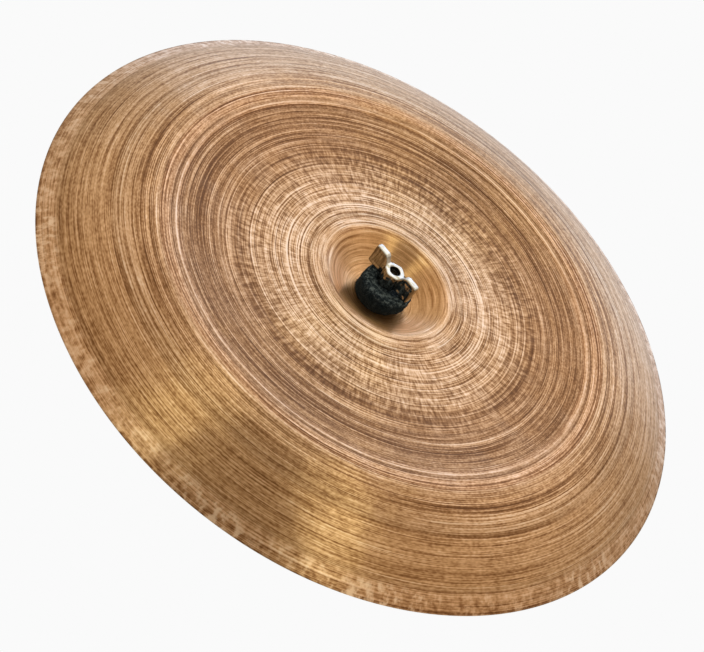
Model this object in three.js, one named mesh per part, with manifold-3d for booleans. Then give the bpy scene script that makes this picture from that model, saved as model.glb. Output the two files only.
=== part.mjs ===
// China cymbal, hung bell down on the threaded post of a cymbal stand
// Millimetres, +Z up the post towards the wing nut, origin at the foot face of the post
import * as THREE from "three";
import { mergeVertices } from "three/addons/utils/BufferGeometryUtils.js";
import Module from "manifold-3d";

// Gaps between pieces
const seatGap = 0.3; // under a piece that rests on another
const threadGap = 0.2; // between the post's thread and a nut, on the radius
const slideGap = 0.3; // between a shaft and a piece that slides over it, on the radius
const overrun = 1; // how far a cutting tool passes the faces it opens

// The post, an M8 threaded rod
const post = {
  radius: 4,
  foot: 14, // thread below the lock nut, which goes into the stand
  chamfer: 0.8,
  belowNutFace: 3.5, // how deep the post's end lies in the wing nut
};

// The lock nut under the washer, a plain M8 hexagon
const lockNut = { acrossFlats: 13, height: 6.5, cornerCut: 1 };

// The felt under the bell and the dished washer that carries it are one size across
const seatRadius = 19;
const washer = { flatRadius: 11.8, thickness: 1.5, dish: 1.8 };
const lowerFelt = { thickness: 12, edgeRound: 2.5 };

// The nylon sleeve that keeps the cymbal off the thread
const sleeve = { wall: 1.1, flangeRadius: 11, flangeThickness: 1.8, belowNut: 2 };

// The felt over the bell, pressed down in the middle by the wing nut
const upperFelt = {
  radius: 17.7,
  baseRadius: 16.4,
  rimRadius: 16.8,
  bulgeHeight: 7,
  rimHeight: 15.8,
  pressedHeight: 14.1,
  pressedRadius: 8.6,
  edgeRound: 2.6,
  bulgeRound: 4,
};

// The cymbal's upper face, as corners that the spun sheet rounds off
// Radii from the axis and heights above the outer edge
const cymbal = {
  edgeRadius: 228.6,
  holeRadius: 6.25,
  floorHeight: 4.6,
  footRadius: 20.9,
  rimRadius: 43,
  rimHeight: 21.1,
  bowRadius: 100,
  bowHeight: 18.5,
  creaseRadius: 158.5,
  creaseHeight: 27,
  flangeRadius: 194,
  flangeHeight: 23,
  floorRound: 9, // set-backs of the roundings from their corners
  wallRound: 11.3,
  rimRoundInside: 3.5,
  rimRoundOutside: 4.5,
  creaseRound: 6,
  bellWall: 1.2, // sheet thickness at the hole, thinning evenly to the edge
  edgeWall: 0.85,
};

// The wing nut, heights above its base
const wingNut = {
  baseRadius: 7.6,
  faceRadius: 6.6,
  bossHeight: 12,
  bossRound: 0.6,
  wingReach: 19.35, // from the axis to a wing's outer side
  wingThickness: 4,
  wingLift: 2, // wings' underside above the base
  wingRise: 5, // wings' top above the boss face
  rootTop: 8.4, // inner end of a wing's top, from the axis
  rootFoot: 7.4, // foot of the step from the boss up to a wing
  rootDrop: 0.4, // the bridge lies this much below the boss face
  outerRound: 1.8,
  innerRound: 1.1,
  edgeBevel: 0.7,
  azimuth: THREE.MathUtils.degToRad(-18.8),
};

// How finely the surfaces are divided
const sides = { sheet: 64, felt: 36, hardware: 32, post: 24 };
const steps = { short: 3, long: 8, corner: 2 };

// Heights up the stack, each from the piece below
const lockNutBase = post.foot;
const washerBase = lockNutBase + lockNut.height + seatGap;
const sleeveBase = washerBase + washer.thickness + seatGap;
const lowerFeltBase = sleeveBase + sleeve.flangeThickness + seatGap;
const bellUnderside = lowerFeltBase + lowerFelt.thickness + seatGap;
const bellFloor = bellUnderside + cymbal.bellWall;
const edgeLevel = bellFloor - cymbal.floorHeight;
const upperFeltBase = bellFloor + seatGap;
const nutBase = upperFeltBase + upperFelt.pressedHeight + seatGap;
const sleeveTop = nutBase - sleeve.belowNut;
const postTop = nutBase + wingNut.bossHeight - post.belowNutFace;

// Radii that pass over the post, each from the piece inside it
const nutBore = post.radius + threadGap;
const washerBore = post.radius + slideGap;
const sleeveBore = post.radius + slideGap;
const sleeveRadius = sleeveBore + sleeve.wall;
const feltBore = sleeveRadius + slideGap;

const finishes = {
  bronze: { color: 0xc4986a, roughness: 0.36, metalness: 1 },
  chrome: { color: 0xdfe1e3, roughness: 0.12, metalness: 1 },
  zinc: { color: 0xb4b6b5, roughness: 0.35, metalness: 1 },
  blackFelt: { color: 0x15171b, roughness: 0.98, metalness: 0 },
  blackNylon: { color: 0x1b1c1e, roughness: 0.55, metalness: 0 },
};

const wasm = await Module();
wasm.setup();

const point = (x, y) => new THREE.Vector2(x, y);

function towards(from, to, length) {
  return to.clone().sub(from).setLength(length).add(from);
}

// A closed outline from corners of x, y and set-back, each rounded by a parabola
function softOutline(corners) {
  const at = corners.map(([x, y]) => point(x, y));
  return corners.flatMap(([, , setBack], i) => {
    if (!setBack) return [at[i]];
    const before = towards(at[i], at.at(i - 1), setBack);
    const after = towards(at[i], at[(i + 1) % at.length], setBack);
    return new THREE.QuadraticBezierCurve(before, at[i], after).getPoints(steps.corner);
  });
}

// A solid of revolution about the post
function spun(profile, segments) {
  return new THREE.LatheGeometry(profile, segments).rotateX(Math.PI / 2);
}

// The same for a ring, whose profile runs round on itself
function spunRing(corners, segments) {
  const outline = softOutline(corners);
  return spun([...outline, outline[0]], segments);
}

function toSolid(geometry) {
  const bare = geometry.clone();
  bare.deleteAttribute("normal");
  bare.deleteAttribute("uv");
  const welded = mergeVertices(bare);
  return new wasm.Manifold(new wasm.Mesh({
    numProp: 3,
    vertProperties: welded.attributes.position.array,
    triVerts: new Uint32Array(welded.index.array),
  }));
}

function toGeometry(solid) {
  const mesh = solid.getMesh();
  const geometry = new THREE.BufferGeometry();
  geometry.setAttribute("position", new THREE.BufferAttribute(mesh.vertProperties, 3));
  geometry.setIndex(new THREE.BufferAttribute(mesh.triVerts, 1));
  geometry.computeVertexNormals();
  return geometry;
}

// A plain rod from the base plane up, longer than its piece at both ends
function boreCutter(radius, height) {
  const rod = new THREE.CylinderGeometry(radius, radius, height + 2 * overrun, sides.post);
  return toSolid(rod.rotateX(Math.PI / 2).translate(0, 0, height / 2));
}

function postGeometry() {
  const end = post.radius - post.chamfer;
  return spun([
    point(0, 0),
    point(end, 0),
    point(post.radius, post.chamfer),
    point(post.radius, postTop - post.chamfer),
    point(end, postTop),
    point(0, postTop),
  ], sides.post);
}

// A hexagon whose corners are turned off top and bottom
function lockNutGeometry() {
  const { acrossFlats, height, cornerCut } = lockNut;
  const corner = acrossFlats / 2 / Math.cos(Math.PI / 6);
  const prism = new THREE.CylinderGeometry(corner, corner, height, 6);
  const hexagon = toSolid(prism.rotateX(Math.PI / 2).translate(0, 0, height / 2));
  const turned = toSolid(spun([
    point(0, 0),
    point(corner - cornerCut, 0),
    point(corner, cornerCut / 2),
    point(corner, height - cornerCut / 2),
    point(corner - cornerCut, height),
    point(0, height),
  ], sides.hardware));
  return toGeometry(hexagon.intersect(turned).subtract(boreCutter(nutBore, height)));
}

function washerGeometry() {
  const { flatRadius, thickness, dish } = washer;
  const edge = thickness / 3;
  return spunRing([
    [washerBore, 0, 0],
    [flatRadius, 0, 2 * edge],
    [seatRadius, dish, edge],
    [seatRadius, dish + thickness, edge],
    [flatRadius, thickness, 2 * edge],
    [washerBore, thickness, 0],
  ], sides.hardware);
}

function sleeveGeometry() {
  const { wall, flangeRadius, flangeThickness } = sleeve;
  const length = sleeveTop - sleeveBase;
  return spunRing([
    [sleeveBore, 0, 0],
    [flangeRadius, 0, flangeThickness / 3],
    [flangeRadius, flangeThickness, flangeThickness / 3],
    [sleeveRadius, flangeThickness, wall / 2],
    [sleeveRadius, length, wall / 2],
    [sleeveBore, length, 0],
  ], sides.hardware);
}

function lowerFeltGeometry() {
  const { thickness, edgeRound } = lowerFelt;
  return spunRing([
    [feltBore, 0, 0],
    [seatRadius, 0, edgeRound],
    [seatRadius, thickness, edgeRound],
    [feltBore, thickness, 0],
  ], sides.felt);
}

function upperFeltGeometry() {
  const felt = upperFelt;
  return spunRing([
    [feltBore, 0, 0],
    [felt.baseRadius, 0, felt.edgeRound],
    [felt.radius, felt.bulgeHeight, felt.bulgeRound],
    [felt.rimRadius, felt.rimHeight, felt.edgeRound],
    [felt.pressedRadius, felt.pressedHeight, felt.edgeRound / 2],
    [feltBore, felt.pressedHeight, 0],
  ], sides.felt);
}

// The upper face from the hole out: cup, rim, sagging bow, crease and falling flange
function cymbalFace() {
  const c = cymbal;
  const hole = point(c.holeRadius, c.floorHeight);
  const foot = point(c.footRadius, c.floorHeight);
  const rim = point(c.rimRadius, c.rimHeight);
  const bow = point(c.bowRadius, c.bowHeight);
  const crease = point(c.creaseRadius, c.creaseHeight);
  const flange = point(c.flangeRadius, c.flangeHeight);
  const edge = point(c.edgeRadius, 0);
  const curved = (a, corner, b) => new THREE.QuadraticBezierCurve(a, corner, b);
  const floorEnd = towards(foot, hole, c.floorRound);
  const wallStart = towards(foot, rim, c.wallRound);
  const wallEnd = towards(rim, foot, c.rimRoundInside);
  const bowStart = towards(rim, bow, c.rimRoundOutside);
  const bowEnd = towards(crease, bow, c.creaseRound);
  const flangeStart = towards(crease, flange, c.creaseRound);
  return [
    [new THREE.LineCurve(hole, floorEnd), 1],
    [curved(floorEnd, foot, wallStart), steps.long],
    [new THREE.LineCurve(wallStart, wallEnd), 1],
    [curved(wallEnd, rim, bowStart), steps.short],
    [curved(bowStart, bow, bowEnd), steps.long],
    [curved(bowEnd, crease, flangeStart), steps.short],
    [curved(flangeStart, flange, edge), steps.long],
  ];
}

// The sheet: its upper face, and an underside set square to it by the wall there
function cymbalGeometry() {
  const { holeRadius, edgeRadius, bellWall, edgeWall } = cymbal;
  const upper = [];
  const lower = [];
  for (const [curve, count] of cymbalFace()) {
    for (let i = upper.length ? 1 : 0; i <= count; i += 1) {
      const here = curve.getPoint(i / count);
      const along = curve.getTangent(i / count);
      const wall = THREE.MathUtils.mapLinear(
        here.x, holeRadius, edgeRadius, bellWall, edgeWall);
      upper.push(here);
      lower.push(point(here.x + along.y * wall, here.y - along.x * wall));
    }
  }
  const outline = [...lower, ...upper.reverse()];
  return spun([...outline, outline[0]], sides.sheet);
}

// Both wings as one plate through the boss, its outline seen along the flat faces
function wingPlate() {
  const w = wingNut;
  const top = w.bossHeight + w.wingRise;
  const bridge = w.bossHeight - w.rootDrop;
  const right = [
    [w.wingReach, w.wingLift, w.outerRound],
    [w.wingReach, top, w.outerRound],
    [w.rootTop, top, w.innerRound],
    [w.rootFoot, bridge, 0],
  ];
  const left = right.map(([x, y, setBack]) => [-x, y, setBack]).reverse();
  const plate = new THREE.ExtrudeGeometry(new THREE.Shape(softOutline([...right, ...left])), {
    depth: w.wingThickness - 2 * w.edgeBevel,
    bevelThickness: w.edgeBevel,
    bevelSize: w.edgeBevel,
    bevelOffset: -w.edgeBevel,
    bevelSegments: 2,
  });
  return toSolid(plate.translate(0, 0, w.edgeBevel - w.wingThickness / 2).rotateX(Math.PI / 2));
}

function wingNutGeometry() {
  const { baseRadius, faceRadius, bossHeight, bossRound } = wingNut;
  const boss = softOutline([
    [0, 0, 0],
    [baseRadius, 0, bossRound],
    [faceRadius, bossHeight, bossRound],
    [0, bossHeight, 0],
  ]);
  const body = toSolid(spun(boss, sides.hardware)).add(wingPlate());
  return toGeometry(body.subtract(boreCutter(nutBore, bossHeight)));
}

function piece(name, geometry, finish, height) {
  const mesh = new THREE.Mesh(geometry, new THREE.MeshStandardMaterial(finishes[finish]));
  mesh.name = name;
  mesh.position.z = height;
  return mesh;
}

const nut = piece("wing_nut", wingNutGeometry(), "chrome", nutBase);
nut.rotation.z = wingNut.azimuth;

const assembly = new THREE.Group();
assembly.add(
  piece("post", postGeometry(), "zinc", 0),
  piece("lock_nut", lockNutGeometry(), "zinc", lockNutBase),
  piece("seat_washer", washerGeometry(), "zinc", washerBase),
  piece("sleeve", sleeveGeometry(), "blackNylon", sleeveBase),
  piece("lower_felt", lowerFeltGeometry(), "blackFelt", lowerFeltBase),
  piece("cymbal", cymbalGeometry(), "bronze", edgeLevel),
  piece("upper_felt", upperFeltGeometry(), "blackFelt", upperFeltBase),
  nut,
);

export default assembly;
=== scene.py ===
# %% [markdown]
# # A china cymbal on its stand post
#
# The real object is one sheet of cast bronze, spun into a cup bell, a sagging bow, a crease and a
# flange that falls away, then hammered and lathed. It hangs bell down on a threaded post, between
# two felts, and a wing nut holds it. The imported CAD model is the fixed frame. Each cell below
# makes one piece or one finish on top of it, and says why it is made that way.

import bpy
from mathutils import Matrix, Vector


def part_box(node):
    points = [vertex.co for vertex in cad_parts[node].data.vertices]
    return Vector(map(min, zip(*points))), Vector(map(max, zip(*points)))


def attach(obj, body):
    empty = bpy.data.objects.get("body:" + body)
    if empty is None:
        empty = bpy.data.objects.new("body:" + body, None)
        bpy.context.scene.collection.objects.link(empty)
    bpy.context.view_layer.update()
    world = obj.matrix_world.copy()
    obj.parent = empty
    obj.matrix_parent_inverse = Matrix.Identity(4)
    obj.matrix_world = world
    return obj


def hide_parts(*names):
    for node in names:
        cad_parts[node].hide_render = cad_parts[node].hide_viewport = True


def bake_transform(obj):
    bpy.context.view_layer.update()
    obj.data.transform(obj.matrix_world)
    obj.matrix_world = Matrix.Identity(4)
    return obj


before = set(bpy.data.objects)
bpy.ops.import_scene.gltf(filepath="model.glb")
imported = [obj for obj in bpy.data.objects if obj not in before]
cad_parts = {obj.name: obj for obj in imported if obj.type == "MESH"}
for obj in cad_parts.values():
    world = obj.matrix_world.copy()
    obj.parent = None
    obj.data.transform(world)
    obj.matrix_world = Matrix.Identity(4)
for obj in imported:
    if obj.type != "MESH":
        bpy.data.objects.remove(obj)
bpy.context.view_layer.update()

# %% [markdown]
# ## Camera
#
# The photograph was taken with a long lens from above and in front, with the camera rolled about
# 38 degrees, so a round cymbal shows as a tilted oval. Fitting that oval gives the place and the
# three directions below. The rest of the scene doesn't depend on them.

# %% Camera
import math

import bmesh
import bpy
import numpy as np
from mathutils import Matrix, Vector

MM = 0.001
SENSOR_WIDTH = 36  # mm
FOCAL_LENGTH = 87.31  # mm
CAMERA_PLACE = Vector((-0.487, -832.39, 774.107)) * MM

camera_data = bpy.data.cameras.new("camera")
camera_data.sensor_width = SENSOR_WIDTH
camera_data.lens = FOCAL_LENGTH
camera_data.clip_end = 60  # metres, past the far side of the dome
camera = bpy.data.objects.new("camera", camera_data)
bpy.context.scene.collection.objects.link(camera)
bpy.context.scene.camera = camera

to_the_right = Vector((0.787135, 0.418651, 0.452926))
to_the_top = Vector((-0.616780, 0.534760, 0.577594))
to_the_back = to_the_right.cross(to_the_top)
camera.matrix_world = Matrix.Translation(CAMERA_PLACE) @ Matrix(
    (to_the_right, to_the_top, to_the_back)).transposed().to_4x4()
print("camera looks along", [round(a, 3) for a in -to_the_back])

# %% [markdown]
# ## Studio
#
# The photograph's ground is an even near-white. A pale floor lies well below the part, so that no
# shadow reaches it, and a pale dome closes the view round it. Neither shows in reflections, which
# leaves the metal to the lamps alone. Polished metal is only as good as what it mirrors, so each
# lamp below stands for one reflection in the photograph.

# %% Floor and dome
PAPER_GREY = 0.956
FLOOR_LEVEL, FLOOR_SIDE, DOME_RADIUS = -1.6, 40, 20  # metres


def plain_glow(name, grey):
    """A material that gives out the same pale grey everywhere."""
    material = bpy.data.materials.new(name)
    material.use_nodes = True
    nodes = material.node_tree.nodes
    nodes.clear()
    glow = nodes.new("ShaderNodeEmission")
    glow.inputs["Color"].default_value = (grey, grey, grey, 1)
    out = nodes.new("ShaderNodeOutputMaterial")
    material.node_tree.links.new(glow.outputs[0], out.inputs[0])
    return material


paper = plain_glow("pale_paper", PAPER_GREY)
bpy.ops.mesh.primitive_plane_add(size=FLOOR_SIDE, location=(0, 0, FLOOR_LEVEL))
floor = bpy.context.object
floor.name = "floor"
bpy.ops.mesh.primitive_uv_sphere_add(radius=DOME_RADIUS, segments=48, ring_count=24)
dome = bpy.context.object
dome.name = "dome"
for backdrop in (floor, dome):
    backdrop.data.materials.append(paper)
    backdrop.visible_glossy = False
    backdrop.visible_diffuse = False
    backdrop.visible_shadow = False
bpy.context.scene.view_settings.view_transform = "Standard"
print("stage:", floor.name, dome.name)

# %% [markdown]
# ### Sky
#
# The rest of the studio shows only in reflections: a cool white wall away behind the cymbal, warm
# dimmer sides and ceiling, and the dark side that the camera stands on. A world shader gets each
# direction as X (right), Y (away from the camera's side) and Z (up), each from -1 to 1. A ramp
# along Y gives the wall's colour, and the right side and the ceiling have a shade of their own.

# %% Sky
SKY_AWAY = [(-1.0, (0.12, 0.10, 0.08)), (-0.80, (0.14, 0.12, 0.09)), (-0.55, (0.32, 0.27, 0.20)),
            (0.05, (0.30, 0.24, 0.16)), (0.35, (0.40, 0.34, 0.25)), (0.60, (0.44, 0.39, 0.30)),
            (0.75, (0.47, 0.44, 0.38)), (0.80, (0.52, 0.52, 0.51)), (0.84, (0.62, 0.68, 0.76)),
            (0.89, (0.69, 0.79, 0.93)), (0.97, (0.71, 0.85, 1.0))]
RIGHT_SIDE = (0.45, 0.36, 0.25)
CEILING = (0.24, 0.19, 0.125)
# Where the light changes: the axis, where the change starts and ends, and the strength at both
SKY_STRENGTH = [("Z", -0.40, 0.25, 1.15, 1.70), ("X", 0.30, 0.65, 1, 0.62),
                ("X", -0.30, -0.70, 1, 0.84), ("Z", -0.35, 0.25, 0.82, 1.17)]

world = bpy.data.worlds.new("studio")
bpy.context.scene.world = world
world.use_nodes = True
sky_nodes, sky_links = world.node_tree.nodes, world.node_tree.links
sky_nodes.clear()
sky_axes = sky_nodes.new("ShaderNodeSeparateXYZ")
sky_links.new(sky_nodes.new("ShaderNodeTexCoord").outputs["Generated"], sky_axes.inputs[0])


def graded(axis, near, far, at_near=0, at_far=1):
    """A number that runs from at_near to at_far while a direction's part along an axis runs from
    near to far, and stays the same beyond them."""
    node = sky_nodes.new("ShaderNodeMapRange")
    for key, value in zip(("From Min", "From Max", "To Min", "To Max"), (near, far, at_near, at_far)):
        node.inputs[key].default_value = value
    sky_links.new(sky_axes.outputs[axis], node.inputs["Value"])
    return node.outputs[0]


def shaded(share, base, colour):
    """A sky colour with a share of another colour mixed in."""
    node = sky_nodes.new("ShaderNodeMix")
    node.data_type = "RGBA"
    node.inputs[7].default_value = (*colour, 1)
    sky_links.new(share, node.inputs[0])
    sky_links.new(base, node.inputs[6])
    return node.outputs[2]


sky_ramp = sky_nodes.new("ShaderNodeValToRGB")
sky_stops = sky_ramp.color_ramp.elements
while len(sky_stops) < len(SKY_AWAY):
    sky_stops.new(0.5)
for stop, (away, colour) in zip(sky_stops, SKY_AWAY):
    stop.position = (away + 1) / 2
    stop.color = (*colour, 1)
sky_links.new(graded("Y", -1, 1), sky_ramp.inputs[0])
sky_colour = shaded(graded("X", 0.30, 0.62, 0, 0.65), sky_ramp.outputs[0], RIGHT_SIDE)
sky_colour = shaded(graded("Z", 0.72, 0.90), sky_colour, CEILING)

strength = graded(*SKY_STRENGTH[0])
for change in SKY_STRENGTH[1:]:
    product = sky_nodes.new("ShaderNodeMath")
    product.operation = "MULTIPLY"
    sky_links.new(graded(*change), product.inputs[0])
    sky_links.new(strength, product.inputs[1])
    strength = product.outputs[0]
sky_light = sky_nodes.new("ShaderNodeBackground")
sky_links.new(sky_colour, sky_light.inputs["Color"])
sky_links.new(strength, sky_light.inputs["Strength"])
sky_links.new(sky_light.outputs[0], sky_nodes.new("ShaderNodeOutputWorld").inputs[0])
print("sky:", len(SKY_AWAY), "colours from the camera's side to the far wall")

# %% [markdown]
# ### Lamps
#
# A lamp's power is worked out from how bright it should look, so its size can be changed without
# changing its reflection. Grooves spread light outwards only, so a lamp shows on the flange as a
# wedge that points at the post. Two long lamps lie along the lines that such wedges mirror, one
# each side of a dark gap, and wider dim ones light the rest of the flange.

# %% Lamps
CEILING_LEVEL = 3  # metres
PALE = (1.0, 0.97, 0.95)
GOLD = (1.0, 0.80, 0.52)
YELLOW = (0.97, 0.97, 0.62)


def soft_box(name, middle, size, radiance, colour):
    """A rectangular lamp at a place in metres (right, away, up) that faces the cymbal. Its power
    is radiance times area times pi, so it looks equally bright in a reflection at any size."""
    data = bpy.data.lights.new(name, "AREA")
    data.shape = "RECTANGLE"
    data.size, data.size_y = size
    data.energy = radiance * size[0] * size[1] * math.pi
    data.color = colour
    lamp = bpy.data.objects.new(name, data)
    bpy.context.scene.collection.objects.link(lamp)
    middle = Vector(middle)
    facing = middle.to_track_quat("Z", "Y").to_matrix().to_4x4()
    lamp.matrix_world = Matrix.Translation(middle) @ facing
    lamp.visible_camera = False
    print(name, "power", round(data.energy, 1), "W")
    return lamp


def overhead(name, middle, size, turn, radiance, colour):
    """A lamp flat under the ceiling, turned by some degrees as seen from above."""
    lamp = soft_box(name, (*middle, CEILING_LEVEL), size, radiance, colour)
    turned_to = Matrix.Rotation(math.radians(turn), 4, "Z")
    lamp.matrix_world = Matrix.Translation((*middle, CEILING_LEVEL)) @ turned_to
    return lamp


soft_box("bow_light", (0.12, 2.23, 2.0), (2.8, 2.3), 0.43, PALE)
overhead("wedge_left", (-0.66, 0), (0.60, 4.4), -16, 0.90, YELLOW)
overhead("wedge_right", (0.90, 0), (0.54, 4.4), 21, 1.10, YELLOW)
overhead("ceiling_left", (-2.6, 0.6), (3.9, 6.0), -16, 0.24, GOLD)
overhead("ceiling_right", (3.0, 0.6), (4.3, 6.0), 21, 0.30, GOLD)

# %% [markdown]
# ## Surfaces from numbers
#
# Nearly every piece here was turned, so it is a profile carried round the post. Two helpers are
# enough: one makes a mesh from a grid of points, the other turns a profile into such a grid.
# Working on whole arrays is quick, and the shape can be varied at every point before it is made.

# %% Grid to mesh
SAME_PLACE = 1e-7  # metres
UV_PER_MM = 0.01


def close_poles(mesh):
    """Merges the points that share a place on the axis, so a rod's ends are closed."""
    work = bmesh.new()
    work.from_mesh(mesh)
    bmesh.ops.remove_doubles(work, verts=work.verts, dist=SAME_PLACE)
    work.to_mesh(mesh)
    work.free()


def piece_from_grid(name, points, closed_profile=True, crease_degrees=40):
    """Mesh of a grid of points in millimetres. Rows follow the profile and columns go round the
    post, and the last column joins the first. Each face joins four neighbours. The UV map holds
    the distance along the profile and the share of the turn."""
    rows, columns = points.shape[:2]
    index = np.arange(rows * columns).reshape(rows, columns)
    down = np.roll(index, -1, 0) if closed_profile else index[1:]
    here = index if closed_profile else index[:-1]
    faces = np.stack([here, down, np.roll(down, -1, 1), np.roll(here, -1, 1)], -1).reshape(-1, 4)
    mesh = bpy.data.meshes.new(name)
    mesh.from_pydata((points.reshape(-1, 3) * MM).tolist(), [], faces.tolist())
    step = np.linalg.norm(np.diff(points[:, 0], axis=0, append=points[:1, 0]), axis=1)
    along = np.concatenate([[0], np.cumsum(step)]) * UV_PER_MM
    row = np.arange(len(here))
    turn = np.arange(columns + 1) / columns
    u = np.stack([along[row], along[row + 1], along[row + 1], along[row]], -1)
    v = np.stack([turn[:-1], turn[:-1], turn[1:], turn[1:]], -1)
    uv = np.stack(np.broadcast_arrays(u[:, None], v[None]), -1)
    mesh.uv_layers.new(name="turning").data.foreach_set("uv", uv.astype(np.float32).ravel())
    mesh.polygons.foreach_set("use_smooth", np.ones(len(faces), bool))
    if not closed_profile:
        close_poles(mesh)
    mesh.set_sharp_from_angle(angle=math.radians(crease_degrees))
    made = bpy.data.objects.new(name, mesh)
    bpy.context.scene.collection.objects.link(made)
    print(name, sum(len(face.vertices) - 2 for face in mesh.polygons), "triangles")
    return made


# %% Turned profiles
def turned(profile, columns):
    """Grid of a profile of (radius, height) points carried round the post: a point at radius r
    and height z goes to (r cos a, r sin a, z) for each angle a."""
    a = np.arange(columns) / columns * 2 * math.pi
    r, z = np.asarray(profile, float).T
    return np.stack([r[:, None] * np.cos(a), r[:, None] * np.sin(a),
                     np.repeat(z[:, None], columns, 1)], -1)


print("two points turned in eight steps make a grid of", turned([(1, 0), (2, 0)], 8).shape)

# %% Unevenness
def waves(points, length, seed, count=28):
    """Smooth random unevenness about zero, mostly between -1 and 1 with rare peaks past 2. It is
    the sum of cosine waves that run in random directions, each about one length from crest to
    crest, over the root of their count."""
    rng = np.random.default_rng(seed)
    ways = rng.normal(size=(count, points.shape[-1]))
    ways *= (2 * math.pi / length * rng.uniform(0.6, 1.5, count)
             / np.linalg.norm(ways, axis=1))[:, None]
    return np.cos(points @ ways.T + rng.uniform(0, 2 * math.pi, count)).sum(-1) / count ** 0.5


def uneven(points, layers):
    """The sum of layers of waves, each a length from crest to crest, a seed and a height."""
    return sum(waves(points, length, seed) * height for length, seed, height in layers)


trial = uneven(np.linspace(0, 200, 800)[:, None], [(10, 1, 1.0)])
print("waves of height 1 mm run from", round(trial.min(), 2), "to", round(trial.max(), 2), "mm")

# %% Outlines
def bend(before, corner, after, count):
    """Points of a parabola that leaves one point and reaches another, pulled to a corner: the
    three are weighed (1 - t) squared, 2 t (1 - t) and t squared, for t from 0 to 1."""
    t = np.linspace(0, 1, count)[:, None]
    return (1 - t) ** 2 * before + 2 * t * (1 - t) * corner + t ** 2 * after


def rounded(corners, steps=6):
    """Outline of (radius, height, set-back) corners, each cut back and joined by a parabola."""
    at = np.array([c[:2] for c in corners], float)
    line = []
    for i, (_, _, back) in enumerate(corners):
        if not back:
            line.append(at[i][None])
            continue
        ends = [at[i] + (at[j] - at[i]) * back / np.linalg.norm(at[j] - at[i])
                for j in (i - 1, (i + 1) % len(at))]
        line.append(bend(ends[0], at[i], ends[1], steps))
    return np.vstack(line)


def evenly(line, count):
    """The same line as a number of points at even distances."""
    run = np.concatenate([[0], np.cumsum(np.linalg.norm(np.diff(line, axis=0), axis=1))])
    at = np.linspace(0, run[-1], count)
    return np.stack([np.interp(at, run, line[:, k]) for k in (0, 1)], -1)


print("a square with two round corners:", len(rounded([(0, 0, 0), (4, 0, 1), (4, 4, 1), (0, 4, 0)])),
      "points")

# %% [markdown]
# ## The cymbal's sheet
#
# A maker spins a cast disc over a former, hammers it and shaves it with a lathe tool, so its face
# is one flowing line from the hole to the edge. The line below has the CAD's corners, with many
# more points. Broad turning ridges and shallow hammer marks are moved into the mesh, because they
# bend reflections. The fine grooves are left to the material.

# %% The face's line
# Corners of the face from the hole outwards, each its distance from the post and its height over
# the edge, in millimetres. Below the face's edge there is still the thickness of the sheet
edge_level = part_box("cymbal")[0].z / MM + 0.71
hole, foot, rim = np.array([[6.25, 4.6], [20.9, 4.6], [43, 21.1]])
bow, crease, flange, edge = np.array([[100, 18.5], [158.5, 27], [194, 23], [228.6, 0]])
# How far before and after a corner its bend starts and ends
FOOT_BEND, RIM_BEND, CREASE_BEND = (9, 11.3), (3.5, 4.5), (6, 6)


def towards(start, end, length):
    """The point at a length from one point towards another."""
    return start + (end - start) * length / np.linalg.norm(end - start)


bowl = bend(towards(foot, hole, FOOT_BEND[0]), foot, towards(foot, rim, FOOT_BEND[1]), 60)
lip = bend(towards(rim, foot, RIM_BEND[0]), rim, towards(rim, bow, RIM_BEND[1]), 40)
sag = bend(lip[-1], bow, towards(crease, bow, CREASE_BEND[0]), 200)
fold = bend(sag[-1], crease, towards(crease, flange, CREASE_BEND[1]), 40)
fall = bend(fold[-1], flange, edge, 120)
face = np.vstack([hole[None], bowl, lip, sag[1:], fold[1:], fall[1:]])
print("face from hole to edge:", round(np.linalg.norm(np.diff(face, axis=0), axis=1).sum(), 1), "mm")

# %% The sheet
ROWS_ABOVE, ROWS_BELOW, COLUMNS = 196, 62, 360
WALL_AT_HOLE, WALL_AT_EDGE = 1.2, 0.85


def across(line):
    """Unit vectors square to a line, on its upper side."""
    way = np.gradient(line, axis=0)
    return np.stack([-way[:, 1], way[:, 0]], -1) / np.linalg.norm(way, axis=1)[:, None]


def pushed(grid, square_to, lift):
    """A turned grid with each point moved by its lift, along its profile's square direction."""
    turn = np.arctan2(grid[..., 1], grid[..., 0])
    radial, rise = square_to[:, None, 0] * lift, square_to[:, None, 1] * lift
    return grid + np.stack([radial * np.cos(turn), radial * np.sin(turn), rise], -1)


def wall(radius):
    """Thickness of the sheet, which falls evenly from the hole to the edge."""
    return np.interp(radius, [hole[0], edge[0]], [WALL_AT_HOLE, WALL_AT_EDGE])


upper = evenly(face, ROWS_ABOVE)
lower = evenly(face, ROWS_BELOW)
under = lower - across(lower) * wall(lower[:, 0])[:, None]
outline = np.vstack([upper, under[::-1]])
outline[:, 1] += edge_level
sheet = turned(outline, COLUMNS)
square_to = np.vstack([across(upper), across(lower)[::-1]])
print("sheet:", len(upper), "rows above and", len(under), "below, of", COLUMNS, "points each")

# %% Ridges and hammer marks
RIDGES = [(6.5, 3, 0.030), (14, 4, 0.03)]
HAMMERING = [(17, 5, 0.045), (42, 6, 0.10)]
# Both fade in over 20 mm outside the felts' seat, and out over the last 6 mm before the edge
r = np.hypot(sheet[..., 0], sheet[..., 1])
shown = np.clip((r - 24) / 20, 0, 1) * np.clip((228.2 - r) / 6, 0, 1)
lift = (uneven(r[..., None], RIDGES) + uneven(sheet * [1, 1, 0], HAMMERING)) * shown
sheet = pushed(sheet, square_to, lift)
print("ridges and marks move the face by up to", round(np.abs(lift).max(), 2), "mm")
cymbal = piece_from_grid("bronze_cymbal", sheet[::-1], crease_degrees=50)
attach(cymbal, "cymbal")
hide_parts("cymbal")

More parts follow.
